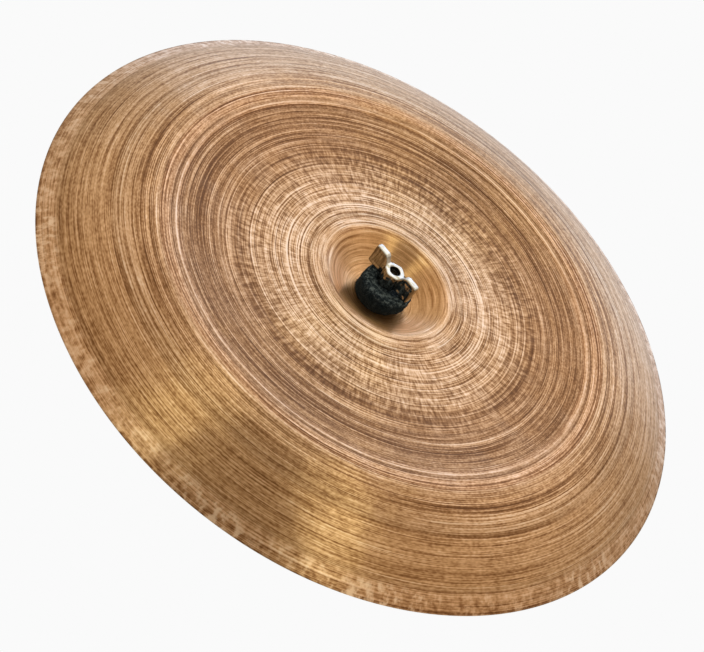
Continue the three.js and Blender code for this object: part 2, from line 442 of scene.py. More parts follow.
# %% [markdown]
# ## Bronze
#
# Lathe grooves are rings, so the pattern is worked out in the ring's own measures: the distance
# from the post, and the direction round it. Noise that runs fast along the distance and slowly
# round the turn gives long thin streaks. Noise that does the reverse gives the short cross marks
# that a chattering tool leaves on the bow. The grooves also spread each reflection away from the
# centre, which the shader's anisotropy does along the UV map.

# %% Node helpers
class Nodes:
    """Short ways to add nodes to one material. Every call gives back the output to link on."""

    def __init__(self, name):
        """A new material with Blender's own shader in it."""
        self.material = bpy.data.materials.new(name)
        self.material.use_nodes = True
        self.tree = self.material.node_tree
        self.shader = self.tree.nodes["Principled BSDF"]

    def link(self, value, socket):
        """Joins an output to an input, or sets the input to a plain value."""
        if hasattr(value, "links"):
            self.tree.links.new(value, socket)
        else:
            socket.default_value = value

    def place(self):
        """The point's own place on the piece, in metres."""
        return self.tree.nodes.new("ShaderNodeTexCoord").outputs["Object"]

    def attribute(self, name):
        """The node that reads what the mesh stores at each point under a name."""
        node = self.tree.nodes.new("ShaderNodeAttribute")
        node.attribute_name = name
        return node

    def flat(self, place):
        """A place without its height, in millimetres."""
        return self.vector("MULTIPLY", place, (1000.0, 1000.0, 0.0))

    def axis(self, place, name):
        """One of a place's three parts, X, Y or Z."""
        node = self.tree.nodes.new("ShaderNodeSeparateXYZ")
        self.link(place, node.inputs[0])
        return node.outputs[name]

    def math(self, kind, *values):
        """A sum, a product or another result of one to three numbers."""
        node = self.tree.nodes.new("ShaderNodeMath")
        node.operation = kind
        for value, socket in zip(values, node.inputs):
            self.link(value, socket)
        return node.outputs[0]

    def vector(self, kind, *values, scale=None):
        """The same for vectors. A length comes back as a number."""
        node = self.tree.nodes.new("ShaderNodeVectorMath")
        node.operation = kind
        for value, socket in zip(values, node.inputs):
            self.link(value, socket)
        if scale is not None:
            self.link(scale, node.inputs["Scale"])
        return node.outputs["Value" if kind == "LENGTH" else "Vector"]

    def noise(self, place, scale=1.0, detail=2.0, rough=0.5, output="Fac"):
        """Smooth random values from 0 to 1, with scale waves to a unit of place."""
        node = self.tree.nodes.new("ShaderNodeTexNoise")
        self.link(place, node.inputs["Vector"])
        for key, value in (("Scale", scale), ("Detail", detail), ("Roughness", rough)):
            node.inputs[key].default_value = value
        return node.outputs[output]

    def spread(self, value, low, high, to_low=0.0, to_high=1.0):
        """Maps low to high onto to_low to to_high, easing in and out, and level beyond."""
        node = self.tree.nodes.new("ShaderNodeMapRange")
        node.interpolation_type = "SMOOTHSTEP"
        for key, given in zip(range(5), (value, low, high, to_low, to_high)):
            self.link(given, node.inputs[key])
        return node.outputs[0]

    def ramp(self, value, stops):
        """A colour looked up between stops, each a place from 0 to 1 and a colour."""
        node = self.tree.nodes.new("ShaderNodeValToRGB")
        elements = node.color_ramp.elements
        while len(elements) < len(stops):
            elements.new(0.5)
        for element, (place, colour) in zip(elements, stops):
            element.position = place
            element.color = (*colour, 1)
        self.link(value, node.inputs[0])
        return node.outputs[0]

    def mix(self, share, a, b, kind="MIX"):
        """Colour a with a share of b mixed in, or multiplied in."""
        node = self.tree.nodes.new("ShaderNodeMix")
        node.data_type = "RGBA"
        node.blend_type = kind
        self.link(share, node.inputs[0])
        for value, socket in ((a, node.inputs[6]), (b, node.inputs[7])):
            self.link((*value, 1) if isinstance(value, tuple) else value, socket)
        return node.outputs[2]

    def bump(self, height, distance, strength=1.0):
        """Tilts the surface's shading as if heights from 0 to 1 rose by a distance in metres."""
        node = self.tree.nodes.new("ShaderNodeBump")
        node.inputs["Strength"].default_value = strength
        node.inputs["Distance"].default_value = distance
        self.link(height, node.inputs["Height"])
        self.link(node.outputs[0], self.shader.inputs["Normal"])

    def finish(self, **plain):
        """Sets the shader's plain sockets by name, with _ for a space."""
        for key, value in plain.items():
            self.shader.inputs[key.replace("_", " ")].default_value = value
        return self.material


def coat(finish, *pieces):
    """Gives pieces their finish."""
    for piece in pieces:
        piece.data.materials.append(finish)
        print(piece.name, "is finished as", finish.name)


# %% [markdown]
# ### What the lathe left at each distance
#
# Three tables follow the face from the post outwards. A row is a distance in millimetres and the
# value there, and values change evenly from row to row. The colour ramps that read them hold 32
# stops at most. The tone says how pale the bronze is, the rings say how strongly whole rings show,
# and the tint adds the few rings and bands that a player would know this cymbal by, and a painted
# highlight along the crease.

# %% Tables by distance
TONE_BY_RADIUS = [(24, 0.66), (40, 0.56), (50, 0.53), (68, 0.58), (86, 0.46), (98, 0.33),
                  (142, 0.30), (152, 0.41), (158, 0.44), (168, 0.48), (190, 0.51), (229, 0.55)]

RINGS_BY_RADIUS = [(70, 1.0), (84, 0.72), (102, 0.78), (118, 1.0), (176, 1.0), (190, 0.62)]

TINT_BY_RADIUS = [
    # The bell
    (30, (1.10, 1.06, 1.00)), (38, (1.28, 1.24, 1.19)), (46, (0.97, 0.95, 0.93)),
    # Two tool lines outside its lip
    (47.4, (0.80, 0.78, 0.76)), (48.6, (0.96, 0.94, 0.92)),
    (53.5, (1, 1, 1)), (54.8, (0.84, 0.84, 0.83)), (56.5, (1, 1, 1)),
    # The bow, redder and darker outwards, with one more line
    (92, (1, 1, 1)), (102, (0.91, 0.87, 0.82)), (116.5, (0.91, 0.86, 0.81)),
    (118.0, (0.81, 0.76, 0.72)), (119.8, (0.90, 0.85, 0.80)), (142.0, (0.88, 0.83, 0.78)),
    # The crease's ridge, a painted highlight between its dark grooves
    (143.7, (0.78, 0.73, 0.68)), (146.8, (0.98, 0.92, 0.90)), (149.0, (0.90, 0.85, 0.82)),
    (150.4, (0.70, 0.65, 0.62)), (152.2, (0.98, 0.94, 0.93)), (154.2, (1.15, 1.11, 1.13)),
    (156.2, (1.08, 1.04, 1.05)), (158.6, (1.14, 1.09, 1.10)), (160.6, (0.90, 0.88, 0.86)),
    (162.6, (1.02, 1.0, 0.97)), (164.8, (0.92, 0.90, 0.87)),
    # The flange
    (167, (1.07, 1.06, 1.04)), (187.0, (0.90, 0.89, 0.88)), (190, (1.07, 1.06, 1.04)),
    # The band at the edge, which hands and stands rub paler
    (214.5, (1.06, 1.05, 1.03)), (216.8, (0.92, 0.91, 0.89)), (219, (1.12, 1.11, 1.14)),
    (229, (1.14, 1.13, 1.18))]
ALL_TINTS = 0.8
BRONZE = [(0.0, (0.12, 0.050, 0.019)), (0.25, (0.195, 0.088, 0.034)), (0.445, (0.345, 0.186, 0.090)),
          (0.61, (0.525, 0.325, 0.184)), (0.77, (0.685, 0.450, 0.290)), (0.90, (0.76, 0.55, 0.40)),
          (1.0, (0.82, 0.63, 0.49))]
print("bronze:", len(BRONZE), "colours from oxide to fresh metal,", len(TINT_BY_RADIUS), "tints")

# %% Streaks
# Layers of streaks: how many a millimetre outwards, how fast they change round the turn, a seed
# that tells them apart, and how strongly they show
FINE_RINGS = [(1.0, 0.0, 12.9, 1.05), (2.2, 0.0, 21.4, 0.80)]
BROAD_RINGS = [(0.15, 0.0, 3.1, 0.30), (0.42, 0.0, 8.6, 0.80)]
ARCS = [(0.30, 0.6, 9.7, 0.45), (0.75, 1.2, 17.3, 0.60), (1.8, 2.4, 29.9, 0.85),
        (3.9, 7.0, 35.2, 0.85)]
CROSS_MARKS = [(0.17, 42.0, 41.0, 0.6), (0.30, 85.0, 77.0, 0.5)]
GRAIN = [(1.1, 80.0, 19.0, 0.50), (0.45, 22.0, 63.0, 0.22)]


class TurnedNodes(Nodes):
    """Nodes for a turned face, which know each point's distance from the post and direction."""
    REACH = 230.0  # mm, a little past the edge

    def __init__(self, name):
        """The distance in millimetres, alone and as the third part of a vector, and the
        direction as a vector of length one."""
        super().__init__(name)
        flat = self.flat(self.place())
        self.radius = self.vector("LENGTH", flat)
        self.way = self.vector("NORMALIZE", flat)
        self.out = self.tree.nodes.new("ShaderNodeCombineXYZ")
        self.link(self.radius, self.out.inputs[2])

    def streak(self, per_mm, round_turn, seed, detail=0.0):
        """Noise that repeats per_mm times a millimetre outwards and changes slowly round."""
        stretched = self.vector("MULTIPLY", self.out.outputs[0], (0.0, 0.0, per_mm))
        turn = self.vector("SCALE", self.way, scale=round_turn)
        moved = self.vector("ADD", self.vector("ADD", stretched, turn), (seed, seed * 0.7, 0.0))
        return self.noise(moved, 1.0, detail, 0.6)

    def about_zero(self, noise, weight):
        """A noise less its mean, times a weight."""
        return self.math("MULTIPLY", self.math("SUBTRACT", noise, 0.5), weight)

    def layered(self, layers):
        """The sum of some layers of streaks, about zero."""
        total = None
        for per_mm, round_turn, seed, weight in layers:
            part = self.about_zero(self.streak(per_mm, round_turn, seed), weight)
            total = part if total is None else self.math("ADD", total, part)
        return total

    def outwards(self, low, high, to_low=0.0, to_high=1.0):
        """A number that eases from to_low to to_high between two distances from the post."""
        return self.spread(self.radius, low, high, to_low, to_high)

    def by_radius(self, rows):
        """What a table gives at this distance from the post, as a colour or a grey."""
        stops = [(place / self.REACH, value if isinstance(value, tuple) else (value,) * 3)
                 for place, value in rows]
        return self.ramp(self.math("DIVIDE", self.radius, self.REACH), stops)


print("streaks:", len(FINE_RINGS + BROAD_RINGS), "layers of rings,", len(ARCS), "of arcs and",
      len(CROSS_MARKS + GRAIN), "of marks")

# %% Grooves and marks
def grooves(n):
    """Depth of the lathe's grooves, as a change of tone. Whole rings that fade in and out round
    the turn, plus arcs, times how deep the tool cut there: deepest between the bell and the bow,
    and shallow inside the bell."""
    broad = n.by_radius(RINGS_BY_RADIUS)
    rings = n.math("ADD", n.layered(FINE_RINGS), n.math("MULTIPLY", broad, n.layered(BROAD_RINGS)))
    rings = n.math("MULTIPLY", rings, n.spread(broad, 0.6, 1.0, 0.80, 1.0))
    shown = n.spread(n.streak(0.12, 1.4, 7.3), 0.32, 0.68, 0.35, 1.25)
    depth = n.math("MULTIPLY", n.outwards(88, 66, 1.0, 1.45), n.outwards(38, 50, 0.34, 1.0))
    depth = n.math("MULTIPLY", depth, n.outwards(178, 190, 1.0, 0.84))
    depth = n.math("MULTIPLY", depth, n.outwards(217, 221, 1.0, 0.80))
    return n.math("MULTIPLY", n.math("ADD", n.math("MULTIPLY", rings, shown), n.layered(ARCS)), depth)


def hammer_marks(n):
    """Cross marks that are strong on the bow, plus grain that is strong off it, both faint inside
    the bell."""
    bow_share = n.math("MULTIPLY", n.outwards(44, 70), n.outwards(132, 94))
    cross = n.math("MULTIPLY", n.layered(CROSS_MARKS), n.spread(bow_share, 0, 1, 0.28, 1.45))
    grain = n.math("MULTIPLY", n.layered(GRAIN), n.spread(bow_share, 0, 1, 1.2, 0.3))
    return n.math("MULTIPLY", n.math("ADD", cross, grain), n.outwards(38, 54, 0.30, 1.0))


def tool_lines(n):
    """Thin dark lines where a noise is low, each shown for a part of the turn."""
    shown = n.spread(n.streak(0.14, 1.1, 61.0), 0.38, 0.60)
    line = n.math("MULTIPLY", n.spread(n.streak(0.60, 0.06, 53.0), 0.40, 0.31), shown)
    return n.math("MULTIPLY", line, 0.26)


# %% Bronze
def lathed_bronze():
    """Golden bronze. Grooves, marks, lines and edge blotches are added to a tone, which a ramp
    turns into the bronze's colour. The bell is more golden, the edge band has rubbed pink
    blotches, and the last half millimetre is painted darker, as painted shade on the rim."""
    n = TurnedNodes("lathed_bronze")
    edge = n.outwards(216, 221)
    blotch = n.streak(0.17, 44.0, 88.0, 3.0)
    tone = n.math("ADD", n.by_radius(TONE_BY_RADIUS), grooves(n))
    tone = n.math("ADD", tone, hammer_marks(n))
    tone = n.math("SUBTRACT", tone, tool_lines(n))
    tone = n.math("ADD", tone, n.math("MULTIPLY", n.math("ADD", n.about_zero(blotch, 1.3), 0.06), edge))
    colour = n.ramp(n.math("MULTIPLY_ADD", tone, 0.65, 0.25), BRONZE)
    colour = n.mix(n.outwards(50, 38, 0, 0.35), colour, (0.96, 0.90, 0.72), "MULTIPLY")
    tints = [(place, tuple(part * ALL_TINTS for part in tint)) for place, tint in TINT_BY_RADIUS]
    colour = n.mix(1.0, colour, n.by_radius(tints), "MULTIPLY")
    # Scaled by 1.17 inside 227.5 mm and by 0.80 past 228.3 mm: the darker last part is painted shade on
    # the rim
    colour = n.vector("SCALE", colour, scale=n.outwards(227.5, 228.3, 1.17, 0.80))
    rubbed = n.math("MULTIPLY", n.spread(blotch, 0.48, 0.68),
                    n.spread(n.streak(0.02, 4.0, 71.0), 0.42, 0.62, 0.25, 0.90))
    colour = n.mix(n.math("MULTIPLY", edge, rubbed), colour, (0.90, 0.70, 0.56))
    n.link(colour, n.shader.inputs["Base Color"])
    n.link(n.spread(tone, 0.2, 0.8, 0.34, 0.29), n.shader.inputs["Roughness"])
    ring, arc = n.streak(*FINE_RINGS[0][:3]), n.streak(*ARCS[1][:3])
    n.bump(n.math("ADD", ring, n.math("MULTIPLY", arc, 1.2)), 0.12 * MM, 0.6)
    tangent = n.tree.nodes.new("ShaderNodeTangent")
    tangent.direction_type = "UV_MAP"
    tangent.uv_map = "turning"
    n.link(tangent.outputs[0], n.shader.inputs["Tangent"])
    return n.finish(Metallic=1.0, Anisotropic=0.96, Coat_Weight=0.2, Coat_Roughness=0.2)


coat(lathed_bronze(), cymbal)

# %% [markdown]
# ## The stack on the post
#
# Under and over the bell sit the pieces that hold it: a hexagon lock nut, a dished washer, a nylon
# sleeve, two felts and the wing nut, all on one M8 threaded rod. The rod's thread is rolled: dies
# press a groove that climbs one pitch a turn. A screw modifier could wind such a thread, but it
# would leave loose ends at the rod's faces. So the rod is one grid, whose radius follows the
# thread's depth at each height and turn, and the same function later cuts the wing nut's bore.

# %% Post
PITCH = 1.25  # millimetres a turn, as on any M8 thread
ROWS_A_TURN = 9


def thread_depth(height, turn):
    """Share of the thread's depth, 0 on the crest and 1 in the root. A zigzag along the height
    less the pitch times the share of a turn, cut off at 0 and 1, which leaves narrow flats."""
    share = (height / PITCH - turn) % 1
    return np.clip(np.abs(share - 0.5) * 2.6 - 0.2, 0, 1)


def rod_grid(top, radius=4.0, chamfer=0.8, depth=0.62, columns=60):
    """Grid of a threaded rod. The surface lies at the radius less the thread's depth, and within
    a chamfer of either end it lies no further out than the chamfer's cone."""
    height = np.linspace(0, top, int(top / PITCH * ROWS_A_TURN))[:, None]
    turn = np.arange(columns)[None] / columns
    cone = radius - chamfer + np.minimum(height, top - height)
    r = np.minimum(radius - depth * thread_depth(height, turn), cone)
    r = np.vstack([0 * r[:1], r, 0 * r[:1]])
    height = np.vstack([height[:1], height, height[-1:]]) + 0 * r
    turn = turn * 2 * math.pi
    return np.stack([r * np.cos(turn), r * np.sin(turn), height], -1)


post_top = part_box("post")[1].z / MM
rod = piece_from_grid("post_rod", rod_grid(post_top), closed_profile=False)
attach(rod, "post")
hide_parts("post")

# %% [markdown]
# ### Lock nut
#
# The lock nut is a plain hexagon nut, sawn from a bar and chamfered on the lathe, which leaves a
# curve on each flat. A boolean of a prism and two cones would give that curve, with a ragged
# mesh. Here the grid's rows follow the curve by themselves, because the depth of the chamfer is
# worked out for each angle, and a small bevel then breaks the sharp edges.

# %% Lock nut
CORNER_SLOPE = math.radians(30)
FACE_INSET = 0.25
MOUTH_CHAMFER = 0.5


def hexagon_grid(base, height, flats=13.0, bore=4.2, columns=120):
    """Grid of a hexagon nut. At each angle its side lies at half the flats over the cosine of the
    angle from the nearest flat's middle. A cone cuts the corners above and below, so each flat
    ends in a curve, and another widens the mouths of the bore."""
    turn = np.arange(columns) / columns * 2 * math.pi
    from_flat = (turn + math.pi / 6) % (math.pi / 3) - math.pi / 6
    side = flats / 2 / np.cos(from_flat)
    face = flats / 2 - FACE_INSET
    drop = np.maximum(side - face, 0) * math.tan(CORNER_SLOPE)
    level = np.ones(columns)
    mouth = bore + MOUTH_CHAMFER
    rows = [(bore * level, MOUTH_CHAMFER * level), (mouth * level, 0 * level),
            (face * level, 0 * level), (side, drop), (side, height / 2 * level),
            (side, height - drop), (face * level, height * level),
            (mouth * level, height * level), (bore * level, (height - MOUTH_CHAMFER) * level)]
    r = np.array([row[0] for row in rows])
    z = np.array([row[1] for row in rows]) + base
    return np.stack([r * np.cos(turn), r * np.sin(turn), z], -1)


nut_low, nut_high = (corner.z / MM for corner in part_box("lock_nut"))
lock_nut = piece_from_grid("hexagon_lock_nut", hexagon_grid(nut_low, nut_high - nut_low),
                           crease_degrees=25)
soften = lock_nut.modifiers.new("soft_edges", "BEVEL")
soften.width = 0.18 * MM
soften.segments = 2
soften.limit_method = "ANGLE"
soften.angle_limit = math.radians(22)
soften.harden_normals = True
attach(lock_nut, "post")
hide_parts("lock_nut")

# %% [markdown]
# ### Washer and sleeve
#
# The washer is pressed from a steel disc, so its wall follows the dish at one thickness. The
# sleeve is moulded in nylon, with a flange that lies on the washer, and it keeps the bronze off
# the thread. Both are round throughout, so each is an outline with rounded corners, turned round
# the post. The outline takes in the bore's wall, so each mesh is closed.

# %% Washer and sleeve
def lifted(outline, base):
    """An outline moved up to its base."""
    return outline + [0, base]


washer_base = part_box("seat_washer")[0].z / MM
washer_line = lifted(rounded([(4.3, 0, 0.2), (11.8, 0, 1.4), (19, 1.8, 0.5), (19, 3.3, 0.5),
                              (11.8, 1.5, 1.4), (4.3, 1.5, 0.4)], 7), washer_base)
washer = piece_from_grid("dished_washer", turned(washer_line, 160))
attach(washer, "post")
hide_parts("seat_washer")

sleeve_base, sleeve_top = (corner.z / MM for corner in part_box("sleeve"))
long = sleeve_top - sleeve_base
sleeve_line = lifted(rounded([(4.3, 0, 0.3), (11, 0, 0.5), (11, 1.8, 0.5), (5.9, 1.8, 0.5),
                              (5.4, 2.4, 0.5), (5.4, long, 0.4), (4.3, long, 0.4)], 6), sleeve_base)
sleeve = piece_from_grid("flanged_sleeve", turned(sleeve_line, 96))
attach(sleeve, "sleeve")
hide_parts("sleeve")

# %% [markdown]
# ## Felts
#
# Felt is wool pressed into a thick sheet and punched out as rings. Pressed hard it bulges at the
# side, its rim curls up round the nut, and its skin is never quite even. Cloth or soft body
# simulation would suit a thin sheet, not a thick pad. So each ring is a turned profile, pushed in
# and out by smooth waves of three lengths: lumps, dents and tufts. Loose fibres lie on its skin.

# %% Loose fibres
FIBRE_RINGS = 7
FIBRE_SIDES = 3
FIBRE_SEED = 5
ROOT_DEPTH = 0.15  # millimetres under the skin


def fibre_lines(ring, count):
    """Middle lines of loose fibres on a ring of felt, and each one's directions up and aside. A
    line starts under the skin, arches over it along a random direction in the skin, at most half
    a millimetre high, and curls aside as a sine does."""
    rng = np.random.default_rng(FIBRE_SEED)
    rows, columns = ring.shape[:2]
    i, j = rng.integers(0, rows, count), rng.integers(0, columns, count)
    round_way = ring[i, (j + 1) % columns] - ring[i, j - 1]
    line_way = ring[(i + 1) % rows, j] - ring[i - 1, j]
    up = np.cross(round_way, line_way)
    up, round_way = (v / np.linalg.norm(v, axis=1)[:, None] for v in (up, round_way))
    angle = rng.normal(0, 0.9, count)[:, None]
    way = round_way * np.cos(angle) + np.cross(up, round_way) * np.sin(angle)
    aside = np.cross(up, way)
    reach, lift = rng.uniform(0.9, 3.0, count), rng.uniform(0.20, 0.65, count)
    curl = rng.normal(0, 0.45, count)
    reach, lift, curl = (v[:, None, None] for v in (reach, lift, curl))
    t = np.linspace(0, 1, FIBRE_RINGS)[None, :, None]
    lines = (ring[i, j][:, None] + way[:, None] * reach * t
             + aside[:, None] * curl * np.sin(3.9 * t)
             + up[:, None] * (lift * np.sin(math.pi * t) - ROOT_DEPTH))
    return lines, up, aside


def fibre_threads(lines, up, aside):
    """Points and faces of a thread round each line. A point lies a thickness from the line, turned
    from aside towards up. The thickness swells from 0.03 mm at both ends to 0.065 mm in the
    middle as half a sine does, and a face closes each end."""
    t = np.linspace(0, 1, FIBRE_RINGS)[None, :, None, None]
    turn = np.arange(FIBRE_SIDES)[:, None] * 2 * math.pi / FIBRE_SIDES
    round_line = np.cos(turn) * up[:, None] + np.sin(turn) * aside[:, None]
    thick = 0.03 + 0.035 * np.sin(math.pi * t)
    points = lines[:, :, None] + thick * round_line[:, None]
    first = np.arange(len(lines))[:, None, None] * FIBRE_RINGS * FIBRE_SIDES
    ring = first + np.arange(FIBRE_RINGS - 1)[None, :, None] * FIBRE_SIDES
    side = np.arange(FIBRE_SIDES)
    here, there = ring + side, ring + (side + 1) % FIBRE_SIDES
    sides = np.stack([here, there, there + FIBRE_SIDES, here + FIBRE_SIDES], -1).reshape(-1, 4)
    starts = first[:, 0] + side[::-1]
    ends = first[:, 0] + (FIBRE_RINGS - 1) * FIBRE_SIDES + side
    return points.reshape(-1, 3), sides, np.vstack([starts, ends])


def with_fibres(piece, ring, count):
    """Gives a felt piece loose fibres, marked by an attribute that its finish paints paler. Every
    point also keeps its place at rest, so that the finish stays put while the felt is squeezed."""
    mesh = piece.data
    skin_points, corners = np.empty(len(mesh.vertices) * 3), np.empty(len(mesh.loops), int)
    mesh.vertices.foreach_get("co", skin_points)
    mesh.loops.foreach_get("vertex_index", corners)
    points, sides, ends = fibre_threads(*fibre_lines(ring, count))
    start = len(mesh.vertices)
    whole = bpy.data.meshes.new(piece.name)
    at_rest = np.vstack([skin_points.reshape(-1, 3), points * MM])
    whole.from_pydata(at_rest.tolist(), [], corners.reshape(-1, 4).tolist()
                      + (sides + start).tolist() + (ends + start).tolist())
    whole.polygons.foreach_set("use_smooth", np.ones(len(whole.polygons), bool))
    loose = whole.attributes.new("loose", "FLOAT", "POINT")
    loose.data.foreach_set("value", np.repeat([0.0, 1.0], [start, len(points)]))
    rest = whole.attributes.new("rest", "FLOAT_VECTOR", "POINT")
    rest.data.foreach_set("vector", at_rest.ravel())
    piece.data = whole
    bpy.data.meshes.remove(mesh)
    print(piece.name, "with its", count, "fibres:", len(whole.polygons), "faces")


# %% Rings of felt
FELT_BORE = 5.7
FELT_ROWS, FELT_COLUMNS = 150, 300


def outward(outline):
    """Unit vectors square to a closed outline that runs against the clock, pointing out."""
    way = np.roll(outline, -1, 0) - np.roll(outline, 1, 0)
    return np.stack([way[:, 1], -way[:, 0]], -1) / np.linalg.norm(way, axis=1)[:, None]


def felt_ring(name, corners, base, lumps, creep=(0, 0), fibres=300):
    """A ring of felt. The outline's corners are rounded and spread evenly, then every point is
    pushed along the outline's square direction by waves of 15, 5.5 and 1.6 mm. Nothing moves at
    the bore, and the push fades in over 3 mm, so the sleeve stays clear. Creep is how far the
    squeezed felt has crept sideways, from nothing at the bore and at the floor of the bell."""
    line = rounded(corners, 14)
    line = evenly(np.vstack([line, line[:1]]), FELT_ROWS + 1)[:-1] + [0, base]
    ring = turned(line, FELT_COLUMNS)
    free = np.clip((line[:, 0] - FELT_BORE - 0.2) / 3, 0, 1)[:, None]
    push = uneven(ring, [(15, 11, lumps), (5.5, 12, lumps * 0.45), (1.6, 13, 0.05)])
    ring = pushed(ring, outward(line), push * free)
    rise = np.clip((line[:, 1] - upper_base) / 6, 0, 1)[:, None]
    ring[..., :2] += (free * rise)[..., None] * creep
    piece = piece_from_grid(name, ring, crease_degrees=180)
    with_fibres(piece, ring[line[:, 0] > FELT_BORE + 3], fibres)
    return piece


# %% [markdown]
# ### Lower felt
#
# The lower felt carries the bell. It lies on the washer round the sleeve. On the stand it bends
# between the sleeve and the cymbal as the cymbal rocks; here it is made as one ring at rest.

# %% Lower felt
upper_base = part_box("upper_felt")[0].z / MM
lower_base, lower_top = (corner.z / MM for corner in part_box("lower_felt"))
thick = lower_top - lower_base
lower_felt = felt_ring("lower_felt_pad", [
    (FELT_BORE, 0, 0.8), (19, 0, 2.5), (19.3, thick / 2, 3), (19, thick, 2.5),
    (FELT_BORE, thick, 0.8)], lower_base, lumps=0.10)
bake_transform(lower_felt)
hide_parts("lower_felt")

# %% [markdown]
# ### Upper felt
#
# The upper felt is made as its two real layers, since on the stand each meets its own motion:
# the foot leans with the cymbal, and the crown stretches up as the nut is slackened. Here the
# foot lies in the cup of the bell, and the crown, pressed by the wing nut, bulges over the foot
# with a curled rim.

# %% Upper felt
CREEP = (2.0, -1.2)  # millimetres to the right and towards the camera
foot_felt = felt_ring("upper_felt_foot", [
    (FELT_BORE, 0, 0.6), (16.2, 0, 2.4), (17.2, 5, 1.5), (15.6, 7.6, 1.2),
    (FELT_BORE, 7.6, 0.6)], upper_base, lumps=0.12, creep=CREEP)
crown_felt = felt_ring("upper_felt_crown", [
    (FELT_BORE, 8.0, 0.5), (15.7, 8.0, 0.8), (16.3, 6.0, 0.4), (17.2, 6.1, 0.8), (18.3, 9.8, 4),
    (17.0, 16.1, 3.0), (11.2, 15.8, 1.6), (8.2, 14.1, 1.0), (FELT_BORE, 14.1, 0.4)],
    upper_base, lumps=0.34, creep=CREEP, fibres=1200)
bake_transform(foot_felt)
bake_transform(crown_felt)
for felt in (foot_felt, crown_felt):
    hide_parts("upper_felt")

# %% [markdown]
# ## Wing nut
#
# The wing nut is one casting: a tapered boss with two upright wings that grow out of it in soft
# fillets. Such a form is easiest as a field of signed distances, the gap from any point to the
# surface, negative inside. Fields can be joined with a fillet, rounded and cut by simple sums.
# The mesh is then laid where the field is zero.

# %% Signed distances
def meet(a, b, rounding):
    """Distance to where two shapes overlap: past both it is the root of both distances squared
    and added, and elsewhere the larger of the two. The shapes are shrunk by the rounding first
    and the result is swelled by it again, which rounds the edge between them."""
    a, b = a + rounding, b + rounding
    return np.hypot(np.maximum(a, 0), np.maximum(b, 0)) + np.minimum(np.maximum(a, b), 0) - rounding


def join(a, b, fillet):
    """Distance to two shapes together: the smaller of the two, blended where they differ by less
    than the fillet, and there less up to a quarter of the fillet, which fills the corner."""
    share = np.clip(0.5 + (b - a) / (2 * fillet), 0, 1)
    return b + (a - b) * share - fillet * share * (1 - share)


def to_outline(u, w, corners):
    """Distance from points to a closed outline. The nearest edge gives its size, and it is
    negative where a level line from the point crosses the outline an odd number of times."""
    corners = np.array(corners, float)
    nearest = np.full(np.broadcast(u, w).shape, np.inf)
    inside = np.zeros(nearest.shape, bool)
    for start, end in zip(corners, np.roll(corners, -1, 0)):
        run, rise = end - start
        along = np.clip(((u - start[0]) * run + (w - start[1]) * rise) / (run ** 2 + rise ** 2), 0, 1)
        nearest = np.minimum(nearest, np.hypot(u - start[0] - run * along, w - start[1] - rise * along))
        if rise:
            crosses = (start[1] > w) != (end[1] > w)
            inside ^= crosses & (u < start[0] + run * (w - start[1]) / rise)
    return np.where(inside, -nearest, nearest)


SQUARE = [(-1, -1), (1, -1), (1, 1), (-1, 1)]
print("from the middle of a square 2 mm wide to its edge:", to_outline(0.0, 0.0, SQUARE), "mm")

# %% Skin of a field
def edge_cuts(field, axis):
    """Which edges of the grid along an axis the surface cuts, how far along each the field is
    zero, and which start inside. An edge is cut where the field changes its sign, at the share
    a / (a - b) of its length if the field is a at its start and b at its end."""
    near, far = [slice(None)] * 3, [slice(None)] * 3
    near[axis], far[axis] = slice(None, -1), slice(1, None)
    a, b = field[tuple(near)], field[tuple(far)]
    cut = (a < 0) != (b < 0)
    return cut, np.where(cut, a / np.where(cut, a - b, 1), 0), a < 0


def cut_sums(field):
    """For each cell, the places where the surface cuts its edges added up, and their count."""
    cells = np.array(field.shape) - 1
    total, count = np.zeros((*cells, 3)), np.zeros(cells)
    for axis in range(3):
        cut, share, _ = edge_cuts(field, axis)
        p, q = (k for k in range(3) if k != axis)
        for i, j in ((0, 0), (0, 1), (1, 0), (1, 1)):
            pick = [slice(None)] * 3
            pick[p], pick[q] = slice(i, cells[p] + i), slice(j, cells[q] + j)
            here = cut[tuple(pick)]
            count += here
            total[..., axis] += share[tuple(pick)]
            total[..., p] += here * i
            total[..., q] += here * j
    return total, count


def skin(field, low, step):
    """Points and faces of the surface where a field on a grid is zero. Each cell that the surface
    passes through gets one point, the mean of where its edges are cut. Each cut edge of the grid
    gets one face, which joins the four cells round it."""
    total, count = cut_sums(field)
    used = count > 0
    number = np.full(used.shape, -1)
    number[used] = np.arange(used.sum())
    points = (np.argwhere(used) + total[used] / count[used][:, None]) * step + low
    faces = []
    for axis in range(3):
        cut, _, inside = edge_cuts(field, axis)
        p, q = (k for k in range(3) if k != axis)
        ring = []
        for i, j in ((-1, -1), (0, -1), (0, 0), (-1, 0)):
            cell = np.argwhere(cut)
            cell[:, p] += i
            cell[:, q] += j
            ring.append(number[tuple(cell.T)])
        ring = np.stack(ring, -1)
        turn_round = inside[cut] if axis == 1 else ~inside[cut]
        ring[turn_round] = ring[turn_round][:, ::-1]
        faces.append(ring)
    return points, np.vstack(faces)


along = np.linspace(-3, 3, 25)
ball = np.sqrt(along[:, None, None] ** 2 + along[:, None] ** 2 + along ** 2) - 2
print("the skin of a ball 4 mm across has", len(skin(ball, -3, 0.25)[1]), "faces")

# %% The wing nut's form
BOSS_HEIGHT = 12.0
WING_OUTLINE = [(0, 3.2), (17.9, 3.2), (18.15, 15.6), (17.6, 15.8), (11.0, 15.8), (9.9, 15.2),
                (8.4, 13.0), (7.1, 11.3), (0, 10.8)]
WING_ROUNDING = 1.2


def boss_field(from_axis, turn, w):
    """Distance to a round boss with six shallow flutes. Its side leans in by 3 in 100."""
    side = 7.15 - 0.28 * np.cos(12 * math.pi * turn) - w * 0.03
    return meet(from_axis - side, np.abs(w - BOSS_HEIGHT / 2) - BOSS_HEIGHT / 2, 0.7)


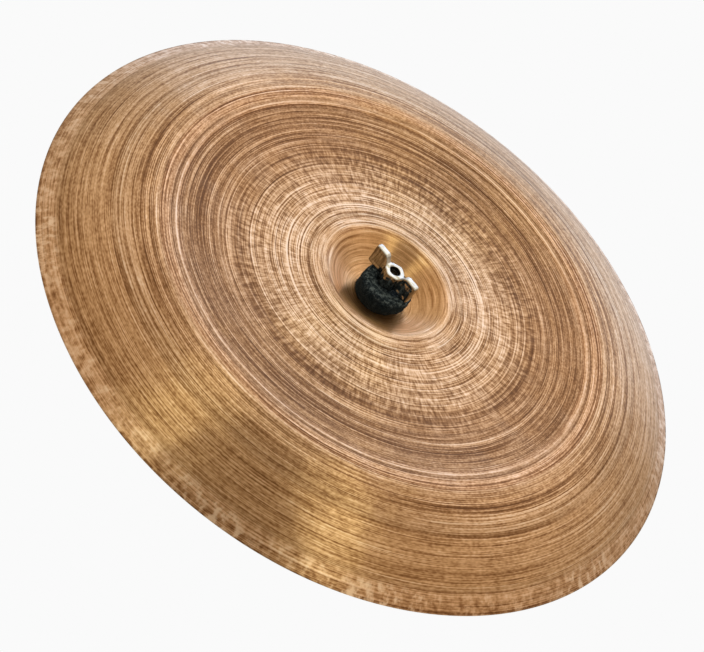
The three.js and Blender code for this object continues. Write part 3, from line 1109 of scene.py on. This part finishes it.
def wings_field(u, v, w):
    """Distance to a pair of wings. The outline swells by its rounding. Half the thickness goes
    from 2.3 mm at the boss to 1.95 mm, and the bead along the rim adds up to 0.4 mm."""
    flat = to_outline(np.abs(u), w, WING_OUTLINE) - WING_ROUNDING
    rim = np.clip((flat + 3.6) / 2.6, 0, 1) * np.clip((np.abs(u) - 7.5) / 2, 0, 1)
    half = np.interp(np.abs(u), [6, 10], [2.3, 1.95]) + 0.40 * rim ** 2 * (3 - 2 * rim)
    return meet(flat, np.abs(v) - half, 0.9)


def bore_radius(turn, w):
    """Radius of the bore: 4.2 mm where the post is and 3.6 mm above its end, plus the thread's
    grooves, or a cone at each mouth."""
    wide = np.interp(w, [8.8, 9.2], [4.2, 3.6])
    mouth = np.maximum(0.3 - w, w - BOSS_HEIGHT + 0.35)
    return wide + np.maximum(0.28 * (1 - thread_depth(w, turn)), mouth)


def wing_nut_field(u, v, w):
    """Signed distance in millimetres from (u along the wings, v through them, w up). Boss and
    wings are joined by a fillet, a seam 0.1 mm high runs where the mould's halves met, and the
    bore is cut out."""
    from_axis, turn = np.hypot(u, v), np.arctan2(v, u) / (2 * math.pi)
    body = join(boss_field(from_axis, turn, w), wings_field(u, v, w), 1.1)
    body = body - 0.10 * np.exp(-(v / 0.22) ** 2)
    return np.maximum(body, bore_radius(turn, w) - from_axis)


print("in the middle of the bore the nut is", round(float(wing_nut_field(0.0, 0.0, 6.0)), 2), "mm away")

# %% Wing nut
STEP = 0.25  # millimetres, the side of a cell of the field's grid
GRID_LOW, GRID_HIGH = np.array([-20.5, -9.0, -1.0]), np.array([20.5, 9.0, 18.3])
CAST_SKIN = 0.045  # millimetres, how uneven the casting is
WINGS_TURNED = math.radians(-18.8)  # as the photograph shows them
counts = (GRID_HIGH - GRID_LOW) / STEP
u, v, w = (GRID_LOW[k] + np.arange(int(counts[k]) + 1) * STEP for k in range(3))
field = wing_nut_field(u[:, None, None], v[None, :, None], w[None, None])
points, faces = skin(field, GRID_LOW, STEP)
points += np.stack([waves(points, 4.0, seed) for seed in (21, 22, 23)], -1) * CAST_SKIN
nut_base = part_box("wing_nut")[0].z / MM
points = points @ np.array(Matrix.Rotation(WINGS_TURNED, 3, "Z")).T + [0, 0, nut_base]
nut_mesh = bpy.data.meshes.new("cast_wing_nut")
nut_mesh.from_pydata((points * MM).tolist(), [], faces.tolist())
nut_mesh.polygons.foreach_set("use_smooth", np.ones(len(faces), bool))
normals = np.empty(len(points) * 3)
nut_mesh.vertices.foreach_get("normal", normals)
facing_up = np.clip((normals[2::3] - 0.10) / 0.25, 0, 1)
nut_mesh.attributes.new("facing_up", "FLOAT", "POINT").data.foreach_set("value", facing_up)
wing_nut = bpy.data.objects.new("cast_wing_nut", nut_mesh)
bpy.context.scene.collection.objects.link(wing_nut)
print("wing nut", len(faces) * 2, "triangles")
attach(wing_nut, "wing_nut")
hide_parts("wing_nut")

# %% [markdown]
# ## Finishes of the stack
#
# Each finish is worked out from the point's own place, so it stays on the piece as it moves. The
# steel pieces are zinc plated and the wing nut is bright plated, and real plating is never even:
# it is cloudy at a few millimetres and rubbed at a few tenths. A photograph of metal would fix
# its own reflections onto the piece, so noise is used here instead.

# %% Plating
# Painted shade for a rod's end, which sits down the wing nut's bore
END_SHADE = (0.060, 0.050, 0.042)


def plating(name, colour, low_gloss, high_gloss, grain):
    """Nodes, colour and roughness of plated metal. Noise at 3 mm and finer noise at 0.3 mm are
    added up. The sum shades the colour, sets the roughness between two ends, and stands up by
    the grain, in millimetres."""
    n = Nodes(name)
    place = n.place()
    cloud = n.noise(place, 300.0, 3.0)
    rub = n.noise(n.vector("MULTIPLY", place, (1.0, 1.0, 3.0)), 2600.0, 2.0)
    mixed = n.math("ADD", n.math("MULTIPLY", cloud, 0.65), n.math("MULTIPLY", rub, 0.35))
    shade = n.ramp(mixed, [(0.30, tuple(c * 0.72 for c in colour)), (0.55, colour),
                           (0.75, tuple(min(1, c * 1.12) for c in colour))])
    n.bump(mixed, grain * MM, 0.5)
    return n, shade, n.spread(mixed, 0.35, 0.65, low_gloss, high_gloss)


def metal(n, shade, gloss):
    """The finished metal, from its nodes, its colour and its roughness."""
    n.link(shade, n.shader.inputs["Base Color"])
    n.link(gloss, n.shader.inputs["Roughness"])
    return n.finish(Metallic=1.0)


def shaded_end(n, shade, gloss, top):
    """Adds painted shade, dark and rough, to a rod's sawn end over its last tenth of a millimetre."""
    end = n.spread(n.axis(n.place(), "Z"), (top - 0.12) * MM, (top - 0.02) * MM)
    return (n, n.mix(end, shade, END_SHADE),
            n.math("MAXIMUM", gloss, n.math("MULTIPLY", end, 0.8)))


coat(metal(*shaded_end(*plating("rolled_zinc", (0.60, 0.60, 0.58), 0.22, 0.42, 0.06), post_top)), rod)
coat(metal(*plating("zinc_hexagon", (0.58, 0.58, 0.57), 0.2, 0.38, 0.05)), lock_nut)
coat(metal(*plating("pressed_steel", (0.62, 0.62, 0.61), 0.2, 0.36, 0.04)), washer)

# %% [markdown]
# ### Bright casting
#
# The wing nut's sides are painted darker in upright streaks, as painted shade, and its top stays
# bright. The thread in its bore is painted dark, as painted shade down the bore. The streaks
# need to know which way the surface faces. The mesh stores that once, as an attribute, so the
# finish reads nothing but the piece itself.

# %% Bright casting
# Painted shade for the wing nut's sides and for the inside of its bore
SIDE_SHADE = (0.16, 0.135, 0.115)
BORE_SHADE = (0.045, 0.038, 0.032)


def shaded_sides(n, shade, gloss):
    """Adds painted shade, darker in upright streaks, on all that the mesh doesn't mark as facing
    up, and makes what does face up at least a little rough."""
    streaks = n.noise(n.vector("MULTIPLY", n.place(), (1.0, 1.0, 0.12)), 620.0, 2.0, 0.6)
    top = n.attribute("facing_up").outputs["Fac"]
    streaked_shade = n.math("MULTIPLY", n.spread(streaks, 0.38, 0.66, 0.88, 0.38),
                  n.math("SUBTRACT", 1.0, top))
    return (n, n.mix(streaked_shade, shade, SIDE_SHADE),
            n.math("MAXIMUM", gloss, n.math("MULTIPLY", top, 0.36)))


def shaded_bore(n, shade, gloss, mouth, radius=4.4):
    """Adds painted shade, dark and rough, within the bore's radius and below its mouth."""
    place = n.place()
    from_axis = n.vector("LENGTH", n.flat(place))
    within = n.math("MULTIPLY", n.spread(from_axis, radius + 0.1, radius - 0.1),
                    n.spread(n.axis(place, "Z"), mouth * MM, (mouth - 0.2) * MM))
    return (n, n.mix(within, shade, BORE_SHADE),
            n.math("MAXIMUM", gloss, n.math("MULTIPLY", within, 0.5)))


casting = shaded_sides(*plating("bright_casting", (0.70, 0.71, 0.73), 0.07, 0.17, 0.06))
coat(metal(*shaded_bore(*casting, mouth=nut_base + BOSS_HEIGHT)), wing_nut)

# %% [markdown]
# ### Moulded nylon
#
# The sleeve's nylon is dyed black right through, and the mould's spark-cut wall leaves it a fine
# sandy skin. That skin is far too small for a mesh, so one noise gives its shade, its roughness
# and its bumps together.

# %% Moulded nylon
def moulded_nylon():
    """Black nylon. A noise at 0.5 mm runs from dark and smooth to paler and rougher."""
    n = Nodes("moulded_nylon")
    sand = n.noise(n.place(), 2200.0, 3.0)
    n.link(n.ramp(sand, [(0.3, (0.012, 0.012, 0.013)), (0.7, (0.030, 0.030, 0.033))]),
           n.shader.inputs["Base Color"])
    n.link(n.spread(sand, 0.3, 0.7, 0.38, 0.58), n.shader.inputs["Roughness"])
    n.bump(sand, 0.05 * MM, 0.6)
    return n.finish(IOR=1.53)


coat(moulded_nylon(), sleeve)

# %% [markdown]
# ### Pressed wool
#
# Black felt looks blue-black under studio lamps, with paler tufts and a soft light on every edge
# where upright wool catches it, which the shader calls sheen. Its finish reads each point's place
# at rest, which the mesh stores, because the felts are squeezed as the cymbal rocks and a pattern
# on their moved places would slide over the wool.

# %% Pressed wool
WOOL = [(0.36, (0.0009, 0.0026, 0.0056)), (0.51, (0.0036, 0.0080, 0.0150)),
        (0.64, (0.020, 0.031, 0.045)), (0.86, (0.16, 0.21, 0.26))]
LIT_RIM_FROM, LIT_RIM_TO = upper_base + 12.6, upper_base + 15.2


def pressed_wool():
    """Black wool felt. Tufts at 2 mm bend the places that two sets of crossed fibres at 0.3 mm
    read, and the sum of all three is the tone. Loose fibres are paler, and pale patches, faint
    low down and full on the crown's rim, are a painted highlight where its top catches the light."""
    n = Nodes("pressed_wool_felt")
    place = n.attribute("rest").outputs["Vector"]
    swirl = n.vector("SUBTRACT", n.noise(place, 500.0, 2.0, output="Color"), (0.5, 0.5, 0.5))
    bent = n.vector("ADD", place, n.vector("SCALE", swirl, scale=0.0025))
    fibres = n.noise(n.vector("MULTIPLY", bent, (1.0, 1.0, 2.5)), 1800.0, 3.0, 0.7)
    crossed = n.noise(n.vector("MULTIPLY", bent, (2.5, 1.0, 1.0)), 1600.0, 3.0, 0.7)
    wool = n.math("ADD", n.math("MULTIPLY", fibres, 0.5), n.math("MULTIPLY", crossed, 0.5))
    tone = n.math("ADD", n.math("MULTIPLY", wool, 0.75),
                  n.math("MULTIPLY", n.noise(place, 500.0, 2.0), 0.25))
    loose = n.attribute("loose").outputs["Fac"]
    tone = n.math("ADD", tone, n.math("MULTIPLY", loose, 0.16))
    # Painted highlight: pale patches, faint low down and full on the crown's rim, where its top catches
    # the light
    rim = n.spread(n.axis(place, "Z"), LIT_RIM_FROM * MM, LIT_RIM_TO * MM, 0.26, 1)
    highlight_patches = n.spread(n.noise(place, 420.0, 3.0, 0.65), 0.40, 0.62, 0.05, 0.33)
    shade = n.ramp(n.math("ADD", tone, n.math("MULTIPLY", rim, highlight_patches)), WOOL)
    n.link(shade, n.shader.inputs["Base Color"])
    n.bump(tone, 1.4 * MM, 1.0)
    return n.finish(Roughness=0.95, Sheen_Weight=0.10, Sheen_Roughness=0.5,
                    Sheen_Tint=(0.50, 0.74, 1.0, 1.0), Specular_IOR_Level=0.10,
                    Specular_Tint=(0.55, 0.80, 1.0, 1.0))


coat(pressed_wool(), lower_felt, foot_felt, crown_felt)
